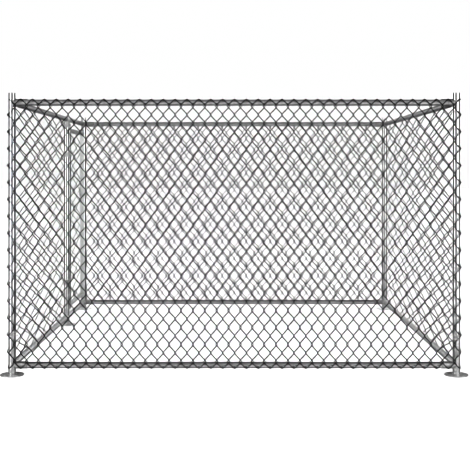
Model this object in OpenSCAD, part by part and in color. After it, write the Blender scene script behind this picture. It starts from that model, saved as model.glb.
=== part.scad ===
// Outdoor kennel run: a square enclosure of galvanised tube and chain-link
// mesh, open at the top and the bottom, with a gate in its left wall.
// Front is -Y, the ground is z = 0, and the origin is the middle of the plan.

/* [Enclosure] */
// Distance between the axes of the left and the right corner posts
span_x = 1968; // [1200:1:2600]
// Distance between the axes of the front and the back corner posts
span_y = 1968; // [1600:1:2600]
// Height of the post tops above the ground
post_h = 1250; // [1150:1:1600]
// Height of the lower rails' centre lines
low_rail_z = 45; // [40:1:50]
// Distance of the upper rails' centre lines below the post tops
high_rail_drop = 43; // [30:1:60]

/* [Tubes] */
// Outer diameter of the posts
post_d = 32; // [32:0.5:34]
// Outer diameter of the rails
rail_d = 27; // [24:0.5:27]
// Outer diameter of the stub sockets that hold the rails
socket_d = 31; // [31:0.5:31.5]
// Length of a socket, from the post's axis to its mouth
socket_reach = 68; // [60:1:90]
// Distance of the socket's cross bolt from the post's axis
bolt_reach = 59; // [50:1:59]
// Wall of the posts, rails and gate tubes
tube_wall = 1.5; // [1.2:0.1:2]

/* [Base plates] */
// Diameter of a round base plate
plate_d = 104; // [96:1:140]
// Thickness of a base plate
plate_t = 4; // [3:0.5:6]
// Diameter of the circle through the anchor holes
anchor_pcd = 78; // [66:1:82]
// Diameter of an anchor hole
anchor_d = 9; // [6:0.5:11]

/* [Mesh] */
// Width of a diamond of the woven mesh
mesh_w = 52.5; // [50:0.5:80]
// Height of a diamond
mesh_h = 75; // [60:1:80]
// Diameter of the mesh's wire
wire_d = 3.8; // [2.6:0.1:3.8]
// Woven diamonds, each way, that one diamond of the plain lattice stands for
coarse = 2; // [1:1:2]

/* [Gate] */
// Distance of the gate post behind the front posts
gate_post_back = 1341; // [900:1:1341]
// Outer diameter of the gate's tubes
gate_d = 26; // [22:0.5:26]
// Gap between the gate post and the gate
hinge_gap = 48; // [46:1:60]
// Gap between the gate and the back post
latch_gap = 28; // [26:1:34]
// Height of the gate's lower rail
gate_low_z = 107; // [100:1:120]
// Height of the gate's upper rail
gate_high_z = 1143; // [1000:1:1143]
// Height of the latch
latch_z = 745; // [600:1:900]
// Height of the lower hinge
low_hinge_z = 250; // [200:1:400]
// Height of the upper hinge
high_hinge_z = 1000; // [800:1:1000]

/* [Hidden] */
$fn = 48;
CORNERS = [["front_left", -1, -1], ["front_right", 1, -1], ["back_left", -1, 1], ["back_right", 1, 1]];
HINGES = [["lower", low_hinge_z], ["upper", high_hinge_z]];

half_x = span_x / 2;
half_y = span_y / 2;
post_r = post_d / 2;
gate_r = gate_d / 2;
high_rail_z = post_h - high_rail_drop;

// Rails end inside their sockets, this far from the post's axis.
rail_end = post_r + 8;
// Clearances round a rail or post in its fitting, and round a bolt in its hole.
socket_fit = 0.25;
bolt_fit = 0.3;

// The woven mesh is two wires deep and hangs on the outside of the posts: this
// is its middle plane, measured outwards from the plane of the post axes.
mesh_out = post_r + wire_d;
mesh_side_gap = 2;
mesh_low_z = 27;
cell_w = mesh_w * coarse;
cell_h = mesh_h * coarse;
mesh_rows = floor((post_h - mesh_low_z) / cell_h);
// A strand has the steel of the wires that it stands for.
strand_w = coarse * wire_d * PI / 4;
mesh_half = half_x + post_r - mesh_side_gap;
mesh_half_y = half_y + post_r - mesh_side_gap;

// The gate stands in the left wall's plane, between the gate post and the back post.
gate_post_y = gate_post_back - half_y;
hinge_y = gate_post_y + post_r + hinge_gap / 2;
hinge_stile_y = gate_post_y + post_r + hinge_gap + gate_r;
latch_stile_y = half_y - post_r - latch_gap - gate_r;
stile_past_rail = 20;
gate_mesh_past_stile = 6;
gate_mesh_past_rail = 16;

// Hardware
bolt_r = 3;
nut_r = 5.77;
nut_h = 5;
thread_end = 3;
band_t = 3;
band_h = 30;
ear_gap = 4;
ear_t = 4;
ear_l = 15;
ear_bolt_at = ear_l / 2 + 1;
arm_w = 12;
arm_h = 12;
pintle_r = 5;
pintle_fit = 0.05;
hinge_boss_r = 9;
pintle_l = 28;
hinge_play = 0.3;
latch_band_h = 18;
pivot_past_stile = 20;
pivot_y = latch_stile_y + pivot_past_stile;
lug_r = 8;
fork_in = post_r + 2;
fork_t = 4;
fork_w = 12;
fork_past_post = 12;
fork_l = half_y + fork_past_post - pivot_y;
bridge_r = 3.5;
bridge_at = 13.5;

// Turn something built along Z so that it lies along X or along Y.
module along_x() rotate([0, 90, 0]) children();
module along_y() rotate([-90, 0, 0]) children();

module tube(d, wall, h)
    difference() {
        cylinder(d = d, h = h);
        translate([0, 0, -1]) cylinder(d = d - 2 * wall, h = h + 2);
    }

// A tube along X or Y between two places on its own axis.
module rail_x(d, x0, x1) translate([x0, 0, 0]) along_x() tube(d, tube_wall, x1 - x0);
module rail_y(d, y0, y1) translate([0, y0, 0]) along_y() tube(d, tube_wall, y1 - y0);

module upright(x, y, z0, z1, d)
    color("gainsboro")
        translate([x, y, z0]) tube(d, tube_wall, z1 - z0);

// Round plate with four anchor holes and a weld bead round the post's foot.
plate_edge = 1;
weld = 3;
module base_plate(x, y)
    color("silver")
        translate([x, y, 0])
            difference() {
                rotate_extrude()
                    polygon([
                        [0, 0], [plate_d / 2 - plate_edge, 0],
                        [plate_d / 2, plate_edge], [plate_d / 2, plate_t - plate_edge],
                        [plate_d / 2 - plate_edge, plate_t], [post_r + weld, plate_t],
                        [post_r, plate_t + weld], [post_r, plate_t], [0, plate_t]]);
                for (a = [45:90:315])
                    rotate(a) translate([anchor_pcd / 2, 0, -1]) cylinder(d = anchor_d, h = plate_t + 2);
            }

// Stub along +X, coped to the post at the origin and cross-drilled along Y.
module socket_stub()
    difference() {
        along_x() cylinder(d = socket_d, h = socket_reach);
        along_x() cylinder(d = rail_d + 2 * socket_fit, h = socket_reach + 1);
        translate([0, 0, -socket_d]) cylinder(d = post_d, h = 2 * socket_d);
        translate([bolt_reach, -socket_d, 0]) along_y() cylinder(r = bolt_r + bolt_fit, h = 2 * socket_d);
    }

// Sockets at both rail heights that point from a corner post along both walls.
module corner_sockets(sx, sy)
    color("silver")
        for (z = [low_rail_z, high_rail_z])
            translate([sx * half_x, sy * half_y, z]) {
                rotate(sx > 0 ? 180 : 0) socket_stub();
                rotate(sy > 0 ? -90 : 90) socket_stub();
            }

module sockets_gate_post()
    color("silver")
        for (a = [-90, 90])
            translate([-half_x, gate_post_y, low_rail_z]) rotate(a) socket_stub();

// Tee that slides over the left top rail and caps the gate post.
tee_l = 70;
tee_wall = 2;
tee_drop = 50;
tee_bolt_up = 15;
tee_stub_d = post_d + 2 * (tee_wall + socket_fit);
module rail_tee()
    color("silver")
        translate([-half_x, gate_post_y, high_rail_z])
            difference() {
                union() {
                    translate([0, -tee_l / 2, 0]) along_y() cylinder(d = socket_d, h = tee_l);
                    translate([0, 0, -tee_drop]) cylinder(d = tee_stub_d, h = tee_drop);
                }
                translate([0, -tee_l, 0]) along_y() cylinder(d = rail_d + 2 * socket_fit, h = 2 * tee_l);
                translate([0, 0, -tee_drop - 1])
                    cylinder(d = post_d + 2 * socket_fit, h = tee_drop + 1 - socket_d / 2);
                translate([-tee_stub_d, 0, -tee_drop + tee_bolt_up])
                    along_x() cylinder(r = bolt_r + bolt_fit, h = 2 * tee_stub_d);
            }

module gate_post()
    color("gainsboro")
        difference() {
            translate([-half_x, gate_post_y, plate_t])
                tube(post_d, tube_wall, high_rail_z - socket_d / 2 - 1 - plate_t);
            translate([-half_x - post_d, gate_post_y, high_rail_z - tee_drop + tee_bolt_up])
                along_x() cylinder(r = bolt_r + bolt_fit, h = 2 * post_d);
        }

// Rail along X or Y with a bolt hole near each end.
module wall_rail_x(y, z)
    color("gainsboro")
        translate([0, y, z])
            difference() {
                rail_x(rail_d, -half_x + rail_end, half_x - rail_end);
                for (s = [-1, 1])
                    translate([s * (half_x - bolt_reach), -rail_d, 0])
                        along_y() cylinder(r = bolt_r + bolt_fit, h = 2 * rail_d);
            }

module wall_rail_y(x, z, y0 = -half_y, y1 = half_y)
    color("gainsboro")
        translate([x, 0, z])
            difference() {
                rail_y(rail_d, y0 + rail_end, y1 - rail_end);
                for (y = [y0 + bolt_reach, y1 - bolt_reach])
                    translate([-rail_d, y, 0])
                        along_x() cylinder(r = bolt_r + bolt_fit, h = 2 * rail_d);
            }

// Cup-head bolt along +Z: its head sits below z = 0 and its shank runs up.
head_d = 12;
head_h = 1.6;
module cup_bolt(l) {
    ball_r = (head_d * head_d / 4 + head_h * head_h) / (2 * head_h);
    rotate([180, 0, 0])
        intersection() {
            translate([0, 0, head_h - ball_r]) sphere(ball_r);
            cylinder(d = head_d, h = head_h);
        }
    cylinder(r = bolt_r, h = l);
}

module hex_nut()
    difference() {
        cylinder(r = nut_r, h = nut_h, $fn = 6);
        translate([0, 0, -1]) cylinder(r = bolt_r + 0.02, h = nut_h + 2);
    }

// Puts its children at every rail bolt, with +Z pointing into the enclosure
// and z = 0 on the outside of the socket.
module at_rail_bolts() {
    for (c = CORNERS, z = [low_rail_z, high_rail_z]) {
        translate([c[1] * (half_x - bolt_reach), c[2] * (half_y + socket_d / 2), z])
            rotate([c[2] * 90, 0, 0]) children();
        translate([c[1] * (half_x + socket_d / 2), c[2] * (half_y - bolt_reach), z])
            rotate([0, c[1] * -90, 0]) children();
    }
    for (s = [-1, 1])
        translate([-half_x - socket_d / 2, gate_post_y + s * bolt_reach, low_rail_z])
            along_x() children();
}

// The tee's bolt is longer, because it crosses the gate post.
module at_tee_bolt()
    translate([-half_x - tee_stub_d / 2, gate_post_y, high_rail_z - tee_drop + tee_bolt_up])
        along_x() children();

module rail_bolts()
    color("dimgray") {
        at_rail_bolts() cup_bolt(socket_d + nut_h + thread_end);
        at_tee_bolt() cup_bolt(tee_stub_d + nut_h + thread_end);
    }

module rail_nuts()
    color("dimgray") {
        at_rail_bolts() translate([0, 0, socket_d]) hex_nut();
        at_tee_bolt() translate([0, 0, tee_stub_d]) hex_nut();
    }

// Flat lattice in the XY plane that stands for a panel of woven mesh, from
// x = x0 to x = x1 and from y = y0 up. Strands meet in columns half a diamond
// apart, and the panel's edges zigzag as those of the woven one do.
module lattice(x0, x1, y0, columns, rows, row_h = cell_h) {
    w = (x1 - x0) / columns;
    slant = sqrt(w * w + row_h * row_h);
    grow_x = strand_w / 2 * slant / row_h;
    grow_y = strand_w / 2 * slant / w;
    top = y0 + rows * row_h;
    edge = concat(
        [for (i = [2:1:2 * columns - 2])
            [x0 + i * w / 2, top + grow_y - (i % 2) * row_h / 2]],
        [for (j = [2:1:2 * rows - 2])
            [x1 + grow_x - (j % 2) * w / 2, top - j * row_h / 2]],
        [for (i = [2:1:2 * columns - 2])
            [x1 - i * w / 2, y0 - grow_y + (i % 2) * row_h / 2]],
        [for (j = [2:1:2 * rows - 2])
            [x0 - grow_x + (j % 2) * w / 2, y0 + j * row_h / 2]]);
    linear_extrude(wire_d, center = true)
        difference() {
            polygon(edge);
            for (i = [1:2 * columns - 1], j = [1:2 * rows - 1])
                if ((i + j) % 2 == 1)
                    translate([x0 + i * w / 2, y0 + j * row_h / 2])
                        polygon([
                            [grow_x - w / 2, 0], [0, grow_y - row_h / 2],
                            [w / 2 - grow_x, 0], [0, row_h / 2 - grow_y]]);
        }
}

// Stands a lattice up on the front (-Y), back, left or right wall.
module on_wall_x(s) translate([0, s * (half_y + mesh_out), 0]) rotate([90, 0, 0]) children();
module on_wall_y(s) translate([s * (half_x + mesh_out), 0, 0]) rotate([90, 0, 90]) children();

columns_x = round(2 * mesh_half / cell_w);
columns_y = round(2 * mesh_half_y / cell_w);
bay_past_post = 10;
bay_end = gate_post_y + bay_past_post;
bay_columns = round((bay_end + mesh_half_y) / cell_w);

module mesh_across(s)
    color("lightgray")
        on_wall_x(s) lattice(-mesh_half, mesh_half, mesh_low_z, columns_x, mesh_rows);

module mesh_right()
    color("lightgray")
        on_wall_y(1) lattice(-mesh_half_y, mesh_half_y, mesh_low_z, columns_y, mesh_rows);

module mesh_left()
    color("lightgray")
        on_wall_y(-1) lattice(-mesh_half_y, bay_end, mesh_low_z, bay_columns, mesh_rows);

// Ring of tie wire round a tube and the mesh's end strand, which lies in
// direction a from the tube's axis.
tie_wire_r = 1;
tie_fit = 0.3;
tie_reach = mesh_out + wire_d / 2 + tie_fit;
module tie_ring(tube_r, a) {
    ring_r = (tie_reach + tube_r) / 2 + tie_fit + tie_wire_r;
    rotate(a) translate([(tie_reach - tube_r) / 2, 0, 0])
        rotate_extrude() translate([ring_r, 0]) circle(tie_wire_r, $fn = 24);
}

// Ring round a corner post and the end strands of both its walls, which lie
// in the directions [sx, 0] and [0, sy].
module corner_tie_ring(sx, sy) {
    off = (tie_reach - post_r) / 2;
    side = strand_w / 2 + tie_wire_r;
    inner_r = max(norm([tie_reach - off, off + side]), off * sqrt(2) + post_r) + tie_fit;
    translate([sx * off, sy * off, 0])
        rotate_extrude() translate([inner_r + tie_wire_r, 0]) circle(tie_wire_r, $fn = 24);
}

// Height at which a mesh's end strand crosses a tube's axis, when its outer
// tip lies past that axis by the given distance.
function tie_z(tip, past, w, row_h) = tip + past / w * row_h;
tie_rows = [1, 3, 6];
gate_tie_rows = [2, 4, 5];

// The back left post carries the mesh of the back wall alone.
module tie_wires()
    color("darkgray")
        for (r = tie_rows) {
            tip = mesh_low_z + r * cell_h;
            corner_z = tie_z(tip, post_r - mesh_side_gap, cell_w, cell_h);
            for (c = CORNERS)
                translate([c[1] * half_x, c[2] * half_y, corner_z])
                    if (c[0] == "back_left") tie_ring(post_r, 90);
                    else corner_tie_ring(c[1], c[2]);
            translate([-half_x, gate_post_y, tie_z(tip, bay_past_post, cell_w, cell_h)])
                tie_ring(post_r, 180);
        }

// The gate's frame: two stiles with the rails coped between them.
module gate_stile(y)
    upright(-half_x, y, gate_low_z - stile_past_rail, gate_high_z + stile_past_rail, gate_d);

module gate_rail(z)
    color("gainsboro")
        difference() {
            translate([-half_x, 0, z]) rail_y(gate_d, hinge_stile_y, latch_stile_y);
            for (y = [hinge_stile_y, latch_stile_y])
                translate([-half_x, y, z - gate_d]) cylinder(d = gate_d, h = 2 * gate_d);
        }

// Push-in plugs that close the four ends of the stiles.
plug_l = 12;
cap_h = 3;
module stile_cap() {
    translate([0, 0, -plug_l]) cylinder(d = gate_d - 2 * tube_wall, h = plug_l);
    rotate_extrude()
        polygon([[0, 0], [gate_r, 0], [gate_r, 1], [gate_r - cap_h + 1, cap_h], [0, cap_h]]);
}

module gate_stile_caps()
    color("dimgray")
        for (y = [hinge_stile_y, latch_stile_y]) {
            translate([-half_x, y, gate_high_z + stile_past_rail]) stile_cap();
            translate([-half_x, y, gate_low_z - stile_past_rail]) rotate([180, 0, 0]) stile_cap();
        }

gate_mesh_y0 = hinge_stile_y - gate_mesh_past_stile;
gate_mesh_y1 = latch_stile_y + gate_mesh_past_stile;
gate_mesh_z0 = gate_low_z - gate_mesh_past_rail;
gate_mesh_z1 = gate_high_z + gate_mesh_past_rail;
gate_rows = round((gate_mesh_z1 - gate_mesh_z0) / cell_h);
gate_row_h = (gate_mesh_z1 - gate_mesh_z0) / gate_rows;
gate_columns = round((gate_mesh_y1 - gate_mesh_y0) / cell_w);
gate_cell_w = (gate_mesh_y1 - gate_mesh_y0) / gate_columns;

module gate_mesh()
    color("lightgray")
        on_wall_y(-1)
            lattice(gate_mesh_y0, gate_mesh_y1, gate_mesh_z0, gate_columns, gate_rows, gate_row_h);

module gate_tie_wires()
    color("darkgray")
        for (r = gate_tie_rows, y = [hinge_stile_y, latch_stile_y]) {
            tip = gate_mesh_z0 + r * gate_row_h;
            translate([-half_x, y, tie_z(tip, gate_mesh_past_stile, gate_cell_w, gate_row_h)])
                tie_ring(gate_r, 180);
        }

// Clamp band round a tube at the origin, z = 0 to h, with a pair of bolted
// ears pointing along +Y.
module clamp_band(tube_r, h)
    difference() {
        union() {
            cylinder(r = tube_r + band_t, h = h);
            translate([-ear_gap / 2 - ear_t, 0, 0]) cube([ear_gap + 2 * ear_t, tube_r + ear_l, h]);
        }
        translate([0, 0, -1]) cylinder(r = tube_r, h = h + 2);
        translate([-ear_gap / 2, 0, -1]) cube([ear_gap, tube_r + ear_l + 1, h + 2]);
        translate([-ear_gap - ear_t, tube_r + ear_bolt_at, h / 2])
            along_x() cylinder(r = bolt_r + bolt_fit, h = 2 * (ear_gap + ear_t));
    }

// The bolt and nut of a clamp band's ears, in the band's own frame.
module ear_bolt(tube_r, h) {
    half_grip = ear_gap / 2 + ear_t;
    translate([-half_grip, tube_r + ear_bolt_at, h / 2]) along_x() {
        cup_bolt(2 * half_grip + nut_h + thread_end);
        translate([0, 0, 2 * half_grip]) hex_nut();
    }
}

// Band on the gate post, with its ears towards the front, that carries an
// upright pintle on an arm towards the gate.
module post_hinge(z)
    color("silver")
        translate([-half_x, gate_post_y, z - band_h / 2]) {
            arm = hinge_y - gate_post_y;
            rotate(180) clamp_band(post_r, band_h);
            difference() {
                union() {
                    translate([-arm_w / 2, 0, 0]) cube([arm_w, arm, arm_h]);
                    translate([0, arm, 0]) cylinder(r = hinge_boss_r, h = arm_h);
                }
                translate([0, 0, -1]) cylinder(r = post_r + band_t / 2, h = arm_h + 2);
            }
            translate([0, arm, 0]) cylinder(r = pintle_r, h = arm_h + pintle_l);
        }

// Band on the gate's stile whose eye drops over the pintle, and the height of
// the eye's lower face for a hinge at height z.
eye_h = 20;
function eye_z(z) = z - band_h / 2 + arm_h + hinge_play;
module gate_hinge(z)
    color("silver")
        translate([-half_x, hinge_stile_y, eye_z(z)]) {
            arm = hinge_stile_y - hinge_y;
            clamp_band(gate_r, eye_h);
            difference() {
                union() {
                    translate([-arm_w / 2, -arm, 0]) cube([arm_w, arm, eye_h]);
                    translate([0, -arm, 0]) cylinder(r = hinge_boss_r, h = eye_h);
                }
                translate([0, 0, -1]) cylinder(r = gate_r + band_t / 2, h = eye_h + 2);
                translate([0, -arm, -1]) cylinder(r = pintle_r + pintle_fit, h = eye_h + 2);
            }
        }

module post_hinge_bolts()
    color("dimgray")
        for (h = HINGES)
            translate([-half_x, gate_post_y, h[1] - band_h / 2]) rotate(180) ear_bolt(post_r, band_h);

module gate_hinge_bolts()
    color("dimgray")
        for (h = HINGES)
            translate([-half_x, hinge_stile_y, eye_z(h[1])])
                ear_bolt(gate_r, eye_h);

// Band on the latch stile with a wide lug that carries the fork's pivot.
lug_half = fork_in - 0.4;
module latch_collar()
    color("silver")
        translate([-half_x, latch_stile_y, latch_z]) {
            translate([0, 0, -latch_band_h / 2]) rotate(180) clamp_band(gate_r, latch_band_h);
            difference() {
                union() {
                    translate([-lug_half, gate_r - 1, -lug_r])
                        cube([2 * lug_half, pivot_past_stile - gate_r + 1, 2 * lug_r]);
                    translate([-lug_half, pivot_past_stile, 0])
                        along_x() cylinder(r = lug_r, h = 2 * lug_half);
                }
                translate([0, 0, -lug_r - 1]) cylinder(r = gate_r + band_t / 2, h = 2 * lug_r + 2);
                translate([-lug_half - 1, pivot_past_stile, 0])
                    along_x() cylinder(r = bolt_r, h = 2 * lug_half + 2);
            }
        }

module latch_collar_bolt()
    color("dimgray")
        translate([-half_x, latch_stile_y, latch_z - latch_band_h / 2])
            rotate(180) ear_bolt(gate_r, latch_band_h);

// Fork, lifted: two tines up from the pivot, joined by a rod. Turned down by a
// quarter turn it straddles the back post.
module latch_fork()
    color("gainsboro")
        translate([-half_x, pivot_y, latch_z]) {
            for (s = [-1, 1])
                translate([s > 0 ? fork_in : -fork_in - fork_t, 0, 0])
                    rotate([90, 0, 90])
                        linear_extrude(fork_t)
                            difference() {
                                union() {
                                    circle(lug_r);
                                    translate([-fork_w / 2, 0]) square([fork_w, fork_l - fork_w / 2]);
                                    translate([0, fork_l - fork_w / 2]) circle(d = fork_w);
                                }
                                circle(bolt_r + pintle_fit);
                            }
            translate([-fork_in - 0.01, 0, bridge_at])
                along_x() cylinder(r = bridge_r, h = 2 * fork_in + 0.02);
        }

module latch_pivot_bolt() {
    reach = fork_in + fork_t + hinge_play;
    color("dimgray")
        translate([-half_x - reach, pivot_y, latch_z]) along_x() {
            cup_bolt(2 * reach + nut_h + thread_end);
            translate([0, 0, 2 * reach]) hex_nut();
        }
}

for (c = CORNERS) {
    x = c[1] * half_x;
    y = c[2] * half_y;
    upright(x, y, plate_t, post_h, post_d);
    base_plate(x, y);
    corner_sockets(c[1], c[2]);
}
gate_post();
base_plate(-half_x, gate_post_y);  // base_plate_gate_post
sockets_gate_post();
rail_tee();
wall_rail_x(-half_y, high_rail_z);  // top_rail_front
wall_rail_x(half_y, high_rail_z);  // top_rail_back
wall_rail_y(-half_x, high_rail_z);  // top_rail_left
wall_rail_y(half_x, high_rail_z);  // top_rail_right
wall_rail_x(-half_y, low_rail_z);  // bottom_rail_front
wall_rail_x(half_y, low_rail_z);  // bottom_rail_back
wall_rail_y(-half_x, low_rail_z, y1 = gate_post_y);  // bottom_rail_left
wall_rail_y(half_x, low_rail_z);  // bottom_rail_right
wall_rail_y(-half_x, low_rail_z, y0 = gate_post_y);  // sill_rail
rail_bolts();
rail_nuts();
mesh_across(-1);  // mesh_front
mesh_across(1);  // mesh_back
mesh_right();
mesh_left();
tie_wires();
gate_stile(hinge_stile_y);  // gate_hinge_stile
gate_stile(latch_stile_y);  // gate_latch_stile
gate_rail(gate_high_z);  // gate_top_rail
gate_rail(gate_low_z);  // gate_bottom_rail
gate_stile_caps();
gate_mesh();
gate_tie_wires();
for (h = HINGES) {
    post_hinge(h[1]);
    gate_hinge(h[1]);
}
post_hinge_bolts();
gate_hinge_bolts();
latch_collar();
latch_collar_bolt();
latch_fork();
latch_pivot_bolt();
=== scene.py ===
import math

import bpy
import numpy as np
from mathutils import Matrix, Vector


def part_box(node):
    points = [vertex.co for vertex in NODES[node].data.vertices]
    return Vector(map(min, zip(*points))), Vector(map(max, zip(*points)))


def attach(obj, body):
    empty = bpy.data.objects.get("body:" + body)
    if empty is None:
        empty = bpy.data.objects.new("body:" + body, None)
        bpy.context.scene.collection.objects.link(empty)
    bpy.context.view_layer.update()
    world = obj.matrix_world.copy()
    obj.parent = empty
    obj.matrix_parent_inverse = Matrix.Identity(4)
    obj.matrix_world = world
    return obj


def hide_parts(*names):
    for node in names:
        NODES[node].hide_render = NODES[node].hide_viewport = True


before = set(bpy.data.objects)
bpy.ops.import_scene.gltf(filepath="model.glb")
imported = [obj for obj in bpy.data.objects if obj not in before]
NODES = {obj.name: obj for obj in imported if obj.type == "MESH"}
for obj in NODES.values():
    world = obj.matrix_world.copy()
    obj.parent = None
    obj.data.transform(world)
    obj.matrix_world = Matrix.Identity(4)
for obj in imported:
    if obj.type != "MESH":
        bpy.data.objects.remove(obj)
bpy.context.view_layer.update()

# Woven mesh
WIRE_R = 0.0019
ROW_H = 0.075
CELL_W = 0.0525  # width of a diamond of the front and back walls
SIDE_CELL_W = 0.21  # width of a diamond of the side walls and the gate
BEND_OVERLAP = 0.0058  # how far a wire's bends reach past its neighbour's
BEND_UNEVEN = 0.0014  # alternate wires lie this far to the left and right
WEAVE_DEPTH = 0.0019  # how far a wire's slopes lie in front and behind
BEND_SHARPNESS = 0.97
LATTICE_EDGE_U = 0.0036  # the plain CAD lattice's tips reach this far past
LATTICE_EDGE_Z = 0.0052  # the wires that it stands for, along and up the wall
END_GAPS = {  # how far a mesh's ends stop short of the CAD lattice's, on its posts
    "mesh_front": (0.0035, 0.001), "mesh_left": (0.012, 0), "mesh_right": (0.012, 0),
}
FOLD_R = 0.005  # the wires' ends fold in over the rails round this radius,
FOLD_AT = 0.010  # from this far inside the mesh's upper and lower edges
FOLD_TAIL = 0.004

# Tubes
POST_R = 0.016
GATE_R = 0.013
RAIL_SOCKET_R = 0.0155

# Tie wires
TIE_R = 0.0009
TIE_ROWS = (2, 6, 12)  # counted in diamonds from the mesh's lower edge
GATE_TIE_ROWS = (4, 8, 10)  # clear of the hinge bands and the latch band
TIE_TURNS = 2
TIE_PITCH = 0.0024
TAIL_GAP = 0.0008  # a twisted tail starts this far off the tube,
TAIL_LENGTH = 0.010
TAIL_DROOP = 0.006  # and its tip hangs this much lower
TAIL_STRAND_R = 0.00085  # the tail's two strands wind at this radius
TAIL_TWISTS = 2.5

# Weld beads
BEAD_R = 0.0016
BEAD_RIPPLE = 0.00028
BEAD_RIPPLES = 30

# Studio
FLOOR_HALF = 40
CAMERA_AT = (0, -5.109, 0.910)
CAMERA_LENS = 71.3
CAMERA_SHIFT = (0.0017, -0.139)
VIEW_GAMMA = 0.62  # deepens the thin wires against the white
PIXEL_FILTER = 1.0
FRONT_LIGHT = {"size": (1.0, 2.6), "power": 48}
BACK_LIGHT = {"size": (0.9, 2.2), "power": 40}
# Greys that the metal mirrors, as (place, grey) from straight down to straight
# up and from behind the camera to behind the run
ROOM_UPWARD = [(0.0, 0.84), (0.45, 0.74), (0.56, 0.68), (0.75, 0.60), (1.0, 0.54)]
ROOM_AWAY = [(0.3, 1.0), (0.62, 0.48)]


# ---------------------------------------------------------------- mesh helpers

def new_object(name, verts, faces, material, slot, body):
    """A smooth mesh object that rides on a CAD body, with its material; the slot argument is not used.
    """
    mesh = bpy.data.meshes.new(name)
    mesh.from_pydata(verts, [], faces)
    mesh.validate()
    mesh.polygons.foreach_set("use_smooth", [True] * len(mesh.polygons))
    mesh.update()
    obj = bpy.data.objects.new(name, mesh)
    bpy.context.scene.collection.objects.link(obj)
    mesh.materials.append(material)
    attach(obj, body)
    return obj


def sweep(paths, radius, reference, sides=6, closed=False):
    """Round tubes along many paths of equal length, as vertices and faces.

    paths is (wires, rings, 3), radius a number or an array (rings,), and
    reference a direction that no path ever runs along.
    """
    paths = np.asarray(paths, float)
    wires, rings = paths.shape[:2]
    if closed:
        tangent = np.roll(paths, -1, axis=1) - np.roll(paths, 1, axis=1)
    else:
        tangent = np.gradient(paths, axis=1)
    tangent /= np.linalg.norm(tangent, axis=2, keepdims=True)
    first = np.cross(tangent, np.asarray(reference, float))
    first /= np.linalg.norm(first, axis=2, keepdims=True)
    second = np.cross(tangent, first)
    angle = np.arange(sides) * 2 * math.pi / sides
    r = np.broadcast_to(radius, (rings,))[None, :, None, None]
    ring = first[:, :, None] * np.cos(angle)[:, None] + second[:, :, None] * np.sin(angle)[:, None]
    verts = (paths[:, :, None] + r * ring).reshape(-1, 3)

    spans = rings if closed else rings - 1
    w, i, k = np.meshgrid(np.arange(wires), np.arange(spans), np.arange(sides), indexing="ij")
    here = (w * rings + i) * sides
    there = (w * rings + (i + 1) % rings) * sides
    after = (k + 1) % sides
    faces = np.stack([here + k, here + after, there + after, there + k], axis=-1).reshape(-1, 4).tolist()
    if not closed:
        for wire in range(wires):
            start = wire * rings * sides
            end = start + (rings - 1) * sides
            faces.append(list(range(start + sides - 1, start - 1, -1)))
            faces.append(list(range(end, end + sides)))
    return verts.tolist(), faces


def joined(parts):
    """One list of vertices and faces from several."""
    verts, faces = [], []
    for part_verts, part_faces in parts:
        offset = len(verts)
        verts += part_verts
        faces += [[offset + v for v in face] for face in part_faces]
    return verts, faces


def turned(points, angle):
    """Points turned about Z."""
    c, s = math.cos(angle), math.sin(angle)
    return points @ np.array([[c, -s, 0], [s, c, 0], [0, 0, 1]]).T


def run_of(node):
    """The axis, 0 or 1, that a wall runs along."""
    lo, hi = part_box(node)
    return 0 if hi.x - lo.x > hi.y - lo.y else 1


def axis_of(node):
    """Where an upright tube's axis stands."""
    lo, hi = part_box(node)
    return (lo.x + hi.x) / 2, (lo.y + hi.y) / 2


def level_of(node):
    """The height of a level tube's axis."""
    lo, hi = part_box(node)
    return (lo.z + hi.z) / 2


# ------------------------------------------------------------------- materials

def node_material(name):
    material = bpy.data.materials.new(name)
    material.use_nodes = True
    tree = material.node_tree
    return material, tree, tree.nodes["Principled BSDF"]


def add(tree, kind, **values):
    """A shader node with its input values set by name."""
    node = tree.nodes.new(kind)
    for key, value in values.items():
        node.inputs[key.replace("_", " ")].default_value = value
    return node


def ramp(tree, source, stops):
    """Colour ramp over source; stops are (place, grey or colour)."""
    node = tree.nodes.new("ShaderNodeValToRGB")
    elements = node.color_ramp.elements
    while len(elements) < len(stops):
        elements.new(0.5)
    for element, (place, value) in zip(elements, stops):
        colour = (value,) * 3 if isinstance(value, (int, float)) else value
        element.position = place
        element.color = (*colour, 1)
    tree.links.new(source, node.inputs["Fac"])
    return node.outputs["Color"]


def mixed(tree, kind, factor, a, b):
    """Colour mix of two sockets."""
    node = tree.nodes.new("ShaderNodeMix")
    node.data_type = "RGBA"
    node.blend_type = kind
    node.inputs["Factor"].default_value = factor
    tree.links.new(a, node.inputs["A"])
    tree.links.new(b, node.inputs["B"])
    return node.outputs["Result"]


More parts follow.
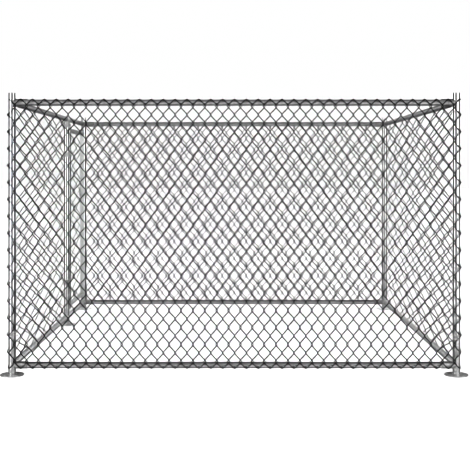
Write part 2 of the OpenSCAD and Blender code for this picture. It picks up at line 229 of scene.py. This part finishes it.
def zinc(name, light, dark, spangle, rough, bump, grime):
    """Galvanised steel: zinc crystals, dull patches, streaks and a fine bump.

    light and dark are the greys of the crystals, spangle their size in metres,
    rough the lowest and highest roughness, and grime how strong the stains are.
    """
    material, tree, bsdf = node_material(name)
    place = add(tree, "ShaderNodeTexCoord").outputs["Object"]

    crystals = add(tree, "ShaderNodeTexVoronoi", Scale=1 / spangle, Randomness=1.0)
    tree.links.new(place, crystals.inputs["Vector"])
    crystal_grey = add(tree, "ShaderNodeSeparateColor")
    tree.links.new(crystals.outputs["Color"], crystal_grey.inputs["Color"])
    base = ramp(tree, crystal_grey.outputs["Red"], [(0, dark), (0.55, (light + dark) / 2), (1, light)])

    patches = add(tree, "ShaderNodeTexNoise", Scale=9, Detail=6, Roughness=0.62)
    tree.links.new(place, patches.inputs["Vector"])
    stain = ramp(tree, patches.outputs["Fac"], [(0.35, 1 - grime), (0.62, 1.0)])
    base = mixed(tree, "MULTIPLY", 1.0, base, stain)

    streaks = add(tree, "ShaderNodeTexNoise", Scale=160, Detail=5, Roughness=0.7)
    tree.links.new(place, streaks.inputs["Vector"])
    streak_tone = ramp(tree, streaks.outputs["Fac"], [(0.3, 0.86), (0.7, (1.0, 1.0, 1.0))])
    base = mixed(tree, "MULTIPLY", 0.8, base, streak_tone)
    tree.links.new(base, bsdf.inputs["Base Color"])

    gloss = mixed(tree, "MIX", 0.5, crystal_grey.outputs["Green"], patches.outputs["Fac"])
    spread = add(tree, "ShaderNodeMapRange", To_Min=rough[0], To_Max=rough[1])
    tree.links.new(gloss, spread.inputs["Value"])
    tree.links.new(spread.outputs["Result"], bsdf.inputs["Roughness"])

    relief = add(tree, "ShaderNodeBump", Strength=bump, Distance=0.0004)
    height = mixed(tree, "MIX", 0.35, streaks.outputs["Fac"], crystal_grey.outputs["Blue"])
    tree.links.new(height, relief.inputs["Height"])
    tree.links.new(relief.outputs["Normal"], bsdf.inputs["Normal"])
    bsdf.inputs["Metallic"].default_value = 1.0
    return material


def plastic(name, shade):
    """Moulded black plastic with a fine grain and a dusty bloom."""
    material, tree, bsdf = node_material(name)
    place = add(tree, "ShaderNodeTexCoord").outputs["Object"]
    dust = add(tree, "ShaderNodeTexNoise", Scale=60, Detail=5, Roughness=0.6)
    grain = add(tree, "ShaderNodeTexNoise", Scale=1800, Detail=3, Roughness=0.5)
    for texture in (dust, grain):
        tree.links.new(place, texture.inputs["Vector"])
    colour = ramp(tree, dust.outputs["Fac"], [(0.4, shade), (0.75, shade * 2.2)])
    tree.links.new(colour, bsdf.inputs["Base Color"])
    spread = add(tree, "ShaderNodeMapRange", To_Min=0.42, To_Max=0.62)
    tree.links.new(dust.outputs["Fac"], spread.inputs["Value"])
    tree.links.new(spread.outputs["Result"], bsdf.inputs["Roughness"])
    relief = add(tree, "ShaderNodeBump", Strength=0.3, Distance=0.0002)
    tree.links.new(grain.outputs["Fac"], relief.inputs["Height"])
    tree.links.new(relief.outputs["Normal"], bsdf.inputs["Normal"])
    return material


TUBE = zinc("zinc_tube", 0.88, 0.68, 0.007, (0.12, 0.26), 0.05, grime=0.14)
# Partly painted light: a rougher copy of the tube finish for the latch stile, whose lighter greys are
# painted light
LIT_DULL_TUBE = zinc("zinc_tube_dull_painted_light", 0.93, 0.74, 0.008, (0.30, 0.44), 0.08, grime=0.14)
# Painted shade: a darker copy of the tube finish for the gate's hinge stile and bottom rail, the bottom
# rails and the sill rail
SHADED_STILE_TUBE = zinc("zinc_tube_stile_painted_shade", 0.62, 0.42, 0.008, (0.30, 0.44), 0.08, grime=0.18)
# Painted shade: a much darker copy of the tube finish for the top rails, greyed so that their tops look
# shaded
SHADED_TOP_RAIL_TUBE = zinc("zinc_tube_painted_shade", 0.28, 0.16, 0.008, (0.30, 0.46), 0.10, grime=0.25)
FITTING = zinc("zinc_fitting", 0.80, 0.50, 0.005, (0.28, 0.50), 0.25, grime=0.30)
PLATE = zinc("zinc_plate", 0.97, 0.84, 0.010, (0.40, 0.58), 0.22, grime=0.20)
WIRE = zinc("zinc_wire", 0.08, 0.04, 0.012, (0.32, 0.50), 0.12, grime=0.30)
TIE = zinc("aluminium_tie", 0.80, 0.62, 0.006, (0.30, 0.46), 0.12, grime=0.15)
BOLT = zinc("zinc_bolt", 0.78, 0.60, 0.0015, (0.22, 0.38), 0.15, grime=0.25)
WELD = zinc("zinc_weld", 0.70, 0.42, 0.003, (0.38, 0.60), 0.45, grime=0.40)
CAP = plastic("black_plastic", 0.018)

# The first finish with a start of the node's name counts; the rest are TUBE.
FINISHES = [
    (BOLT, ("post_hinge_bolts", "gate_hinge_bolts", "latch_collar_bolt", "latch_pivot_bolt")),
    (BOLT, ("rail_bolts", "rail_nuts")),
    (SHADED_STILE_TUBE, ("gate_hinge_stile", "gate_bottom_rail")),
    (SHADED_STILE_TUBE, ("bottom_rail_left", "bottom_rail_right", "sill_rail")),
    (SHADED_TOP_RAIL_TUBE, ("gate_top_rail", "top_rail_left", "top_rail_right")),
    (LIT_DULL_TUBE, ("gate_latch_stile",)),
    (FITTING, ("sockets", "rail_tee", "post_hinge", "gate_hinge", "latch_collar", "latch_fork")),
    (PLATE, ("base_plate",)),
    (CAP, ("gate_stile_caps",)),
    (WIRE, ("mesh_", "gate_mesh")),
    (TIE, ("tie_wires", "gate_tie_wires")),
]
for node_name, node in NODES.items():
    finish = next((material for material, starts in FINISHES if node_name.startswith(starts)), TUBE)
    node.data.materials.clear()
    node.data.materials.append(finish)


# ----------------------------------------------------------------- woven mesh

def rounded_zigzag(c):
    """Triangle wave with rounded bends, for the cosine of a phase."""
    return np.arcsin(BEND_SHARPNESS * c) / math.asin(BEND_SHARPNESS)


def woven_panel(node, cell_w, body):
    """Chain-link mesh that stands for a plain CAD lattice.

    Each wire is a flattened spiral that runs up the wall and hooks into both
    its neighbours, and its two ends are folded in over the rails.
    """
    lo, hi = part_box(node)
    run = run_of(node)
    out = 1 - run
    middle = (lo[out] + hi[out]) / 2
    outward = math.copysign(1, middle)
    first_gap, last_gap = END_GAPS.get(node, (0, 0))
    start = lo[run] + LATTICE_EDGE_U + first_gap
    length = hi[run] - LATTICE_EDGE_U - last_gap - start
    low = lo.z + LATTICE_EDGE_Z
    height = hi.z - LATTICE_EDGE_Z - low

    columns = round(length / cell_w)
    rows = round(height / ROW_H)
    wires = 2 * columns
    spacing = length / wires
    half = (spacing + BEND_OVERLAP) / 2

    # Rings are closer together near the bends and where the wires fold in
    fractions = np.array([0, 0.07, 0.2, 0.5, 0.8, 0.93]) * math.pi
    phase = (np.arange(2 * rows)[:, None] * math.pi + fractions).ravel()
    phase = np.append(phase, 2 * math.pi * rows)
    fold_steps = np.array([0.1, 0.2, 0.3]) * math.pi
    phase = np.union1d(phase, np.concatenate([fold_steps, phase[-1] - fold_steps]))
    zigzag = half * rounded_zigzag(np.cos(phase))
    depth = WEAVE_DEPTH * np.tanh(3 * np.sin(phase)) / math.tanh(3)
    z = low + phase / (2 * math.pi) * (height / rows)

    z = np.concatenate([[low - FOLD_TAIL], z, [z[-1] + FOLD_TAIL]])
    over = np.clip(z - (low + height - FOLD_AT), 0, None) / FOLD_R
    under = np.clip(low + FOLD_AT - z, 0, None) / FOLD_R
    fold_in = FOLD_R * (2 - np.cos(over) - np.cos(under))
    folded_z = np.clip(z, low + FOLD_AT, low + height - FOLD_AT)
    folded_z += FOLD_R * (np.sin(over) - np.sin(under))
    zigzag = np.concatenate([zigzag[:1], zigzag, zigzag[-1:]])
    depth = np.concatenate([[0], depth, [0]])

    paths = []
    for i in range(wires):
        side = -1 if i % 2 == 0 else 1
        centre = start + (i + 0.5) * spacing - side * BEND_UNEVEN
        points = np.empty((len(z), 3))
        points[:, run] = centre + side * zigzag
        points[:, out] = middle + outward * (-side * depth - fold_in)
        points[:, 2] = folded_z
        paths.append(points)
    reference = [0, 0, 0]
    reference[run] = 1
    verts, faces = sweep(paths, WIRE_R, reference)
    panel = new_object(f"woven_{node}", verts, faces, WIRE, "mesh_wire", body)
    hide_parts(node)
    return {"start": start, "end": start + length, "low": low, "row": height / rows,
            "reach": half * 2, "out": middle}


WALLS = {
    "mesh_front": (CELL_W, "frame"),
    "mesh_back": (CELL_W, "frame"),
    "mesh_right": (SIDE_CELL_W, "frame"),
    "mesh_left": (SIDE_CELL_W, "frame"),
    "gate_mesh": (SIDE_CELL_W, "gate"),
}
woven = {node: woven_panel(node, *how) for node, how in WALLS.items()}


# ------------------------------------------------------------------ tie wires

def tie_paths(x, y, z, tube_r, mesh_at, toward):
    """Two turns of tie wire round a tube and a mesh wire, with a twisted tail.

    mesh_at is how far the mesh's middle lies from the tube's axis, in the
    direction toward, an angle in radians.
    """
    outer = WIRE_R + TIE_R
    reach = mesh_at + WEAVE_DEPTH
    angle = np.linspace(0, 2 * math.pi * TIE_TURNS, 48 * TIE_TURNS + 1) + math.pi
    big = tube_r + TIE_R
    on_mesh = reach * np.cos(angle) + outer > big
    local_x = np.where(on_mesh, reach + outer * np.cos(angle), big * np.cos(angle))
    local_y = np.where(on_mesh, outer * np.sin(angle), big * np.sin(angle))
    local_z = TIE_PITCH * (angle - angle.mean()) / (2 * math.pi)
    loop = np.stack([local_x, local_y, local_z], axis=1)

    t = np.linspace(0, 1, 25)
    tails = []
    for half_turn in (0, math.pi):
        twist = 2 * math.pi * TAIL_TWISTS * t + half_turn
        tails.append(np.stack([
            -big - TAIL_GAP - TAIL_LENGTH * t,
            TAIL_STRAND_R * np.cos(twist),
            TAIL_STRAND_R * np.sin(twist) - TAIL_DROOP * t * t,
        ], axis=1))
    return [turned(points, toward) + (x, y, z) for points in [loop, *tails]]


def tied(name, ties, body, replaced):
    """One piece with all the ties of a CAD node, which it replaces."""
    parts = []
    for tie in ties:
        loop, *tails = tie_paths(*tie)
        parts.append(sweep([loop], TIE_R, (0, 0, 1)))
        parts.append(sweep(tails, TIE_R * 0.95, (0.3, 0.5, 0.81)))
    piece = new_object(name, *joined(parts), TIE, "tie_wire", body)
    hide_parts(replaced)


def ties_on(panel_name, post, tube_r, rows):
    """A tie at each tied row, where the panel's end wire crosses a post's axis."""
    panel = woven[panel_name]
    run = run_of(panel_name)
    axis = axis_of(post)
    at_start = abs(axis[run] - panel["start"]) < abs(axis[run] - panel["end"])
    past = abs(axis[run] - (panel["start"] if at_start else panel["end"]))
    rise = past / panel["reach"] * panel["row"] / 2
    lowest = panel["low"] + (rise if at_start else -rise)
    away = panel["out"] - axis[1 - run]
    toward = (math.pi / 2 if run == 0 else 0) + (math.pi if away < 0 else 0)
    return [(*axis, row * panel["row"] + lowest, tube_r, abs(away), toward) for row in rows]


WALL_POSTS = {
    "mesh_front": ("post_front_left", "post_front_right"),
    "mesh_back": ("post_back_left", "post_back_right"),
    "mesh_right": ("post_front_right", "post_back_right"),
    "mesh_left": ("post_front_left", "gate_post"),
}
frame_ties = []
for wall, posts in WALL_POSTS.items():
    for post in posts:
        frame_ties += ties_on(wall, post, POST_R, TIE_ROWS)
tied("twisted_tie_wires", frame_ties, "frame", "tie_wires")
gate_ties = []
for stile in ("gate_hinge_stile", "gate_latch_stile"):
    gate_ties += ties_on("gate_mesh", stile, GATE_R, GATE_TIE_ROWS)
tied("twisted_gate_tie_wires", gate_ties, "gate", "gate_tie_wires")


# ---------------------------------------------------------------- weld beads

def saddle_bead(x, y, z, toward):
    """Rippled weld bead where a stub socket meets a post."""
    t = np.linspace(0, 2 * math.pi, 120, endpoint=False)
    across = RAIL_SOCKET_R * np.cos(t)
    up = RAIL_SOCKET_R * np.sin(t)
    along = np.sqrt(POST_R ** 2 - across ** 2)
    path = turned(np.stack([along, across, up], axis=1), toward) + (x, y, z)
    ripple = BEAD_R + BEAD_RIPPLE * np.sin(BEAD_RIPPLES * t)
    return sweep([path], ripple, (math.cos(toward), math.sin(toward), 0.001), closed=True)


beads = []
for corner in ("front_left", "front_right", "back_left", "back_right"):
    x, y = axis_of(f"post_{corner}")
    inward_x = 0 if x < 0 else math.pi
    inward_y = math.pi / 2 if y < 0 else -math.pi / 2
    wall = corner.split("_")[0]
    for rail in (f"bottom_rail_{wall}", f"top_rail_{wall}"):
        for toward in (inward_x, inward_y):
            beads.append(saddle_bead(x, y, level_of(rail), toward))
for toward in (math.pi / 2, -math.pi / 2):
    beads.append(saddle_bead(*axis_of("gate_post"), level_of("sill_rail"), toward))
new_object("weld_beads", *joined(beads), WELD, "fitting", "frame")


# ------------------------------------------------------- floor, light, camera

def pale_floor():
    """Plain white floor that metal doesn't mirror."""
    material, tree, bsdf = node_material("pale_floor")
    bsdf.inputs["Base Color"].default_value = (0.1, 0.1, 0.1, 1)
    bsdf.inputs["Roughness"].default_value = 0.9
    bsdf.inputs["Specular IOR Level"].default_value = 0.1
    bsdf.inputs["Emission Color"].default_value = (1, 1, 1, 1)
    bsdf.inputs["Emission Strength"].default_value = 0.99
    mesh = bpy.data.meshes.new("floor")
    r = FLOOR_HALF
    mesh.from_pydata([(-r, -r, 0), (r, -r, 0), (r, r, 0), (-r, r, 0)], [], [(0, 1, 2, 3)])
    mesh.materials.append(material)
    floor = bpy.data.objects.new("floor", mesh)
    bpy.context.scene.collection.objects.link(floor)
    floor.visible_glossy = False


def softbox(name, place, aim, size, power):
    """Rectangular light that faces a point, unseen by the camera."""
    light = bpy.data.lights.new(name, "AREA")
    light.shape = "RECTANGLE"
    light.size, light.size_y = size
    light.energy = power
    obj = bpy.data.objects.new(name, light)
    bpy.context.scene.collection.objects.link(obj)
    obj.location = place
    direction = np.subtract(aim, place)
    level = math.hypot(direction[0], direction[1])
    obj.rotation_euler = (math.atan2(level, -direction[2]), 0, math.atan2(-direction[0], direction[1]))
    obj.visible_camera = False


def white_surround():
    """White to the camera, but a room of soft greys to the metal."""
    world = bpy.data.worlds.new("studio")
    bpy.context.scene.world = world
    world.use_nodes = True
    tree = world.node_tree
    tree.nodes.clear()
    output = tree.nodes.new("ShaderNodeOutputWorld")
    direction = tree.nodes.new("ShaderNodeSeparateXYZ")
    tree.links.new(add(tree, "ShaderNodeTexCoord").outputs["Generated"], direction.inputs["Vector"])
    shades = []
    for axis, stops in (("Z", ROOM_UPWARD), ("Y", ROOM_AWAY)):
        span = add(tree, "ShaderNodeMapRange", From_Min=-1)
        tree.links.new(direction.outputs[axis], span.inputs["Value"])
        shades.append(ramp(tree, span.outputs["Result"], stops))
    dim = add(tree, "ShaderNodeBackground")
    tree.links.new(mixed(tree, "MULTIPLY", 1.0, *shades), dim.inputs["Color"])
    bright = add(tree, "ShaderNodeBackground", Color=(1, 1, 1, 1))
    path = tree.nodes.new("ShaderNodeLightPath")
    mix = tree.nodes.new("ShaderNodeMixShader")
    tree.links.new(path.outputs["Is Camera Ray"], mix.inputs[0])
    tree.links.new(dim.outputs[0], mix.inputs[1])
    tree.links.new(bright.outputs[0], mix.inputs[2])
    tree.links.new(mix.outputs[0], output.inputs["Surface"])


pale_floor()
white_surround()
for side, sign in (("left", -1), ("right", 1)):
    softbox(f"front_softbox_{side}", (sign * 2.7, -2.9, 1.0), (0, -0.6, 0.7), **FRONT_LIGHT)
    softbox(f"back_softbox_{side}", (sign * 1.2, 5.6, 1.2), (0, 0.4, 0.7), **BACK_LIGHT)

camera_data = bpy.data.cameras.new("camera")
camera_data.lens = CAMERA_LENS
camera_data.sensor_width = 36
camera_data.shift_x, camera_data.shift_y = CAMERA_SHIFT
camera = bpy.data.objects.new("camera", camera_data)
bpy.context.scene.collection.objects.link(camera)
camera.location = CAMERA_AT
camera.rotation_euler = (math.pi / 2, 0, 0)
bpy.context.scene.camera = camera
bpy.context.scene.view_settings.view_transform = "Standard"
bpy.context.scene.view_settings.gamma = VIEW_GAMMA
bpy.context.scene.cycles.filter_width = PIXEL_FILTER
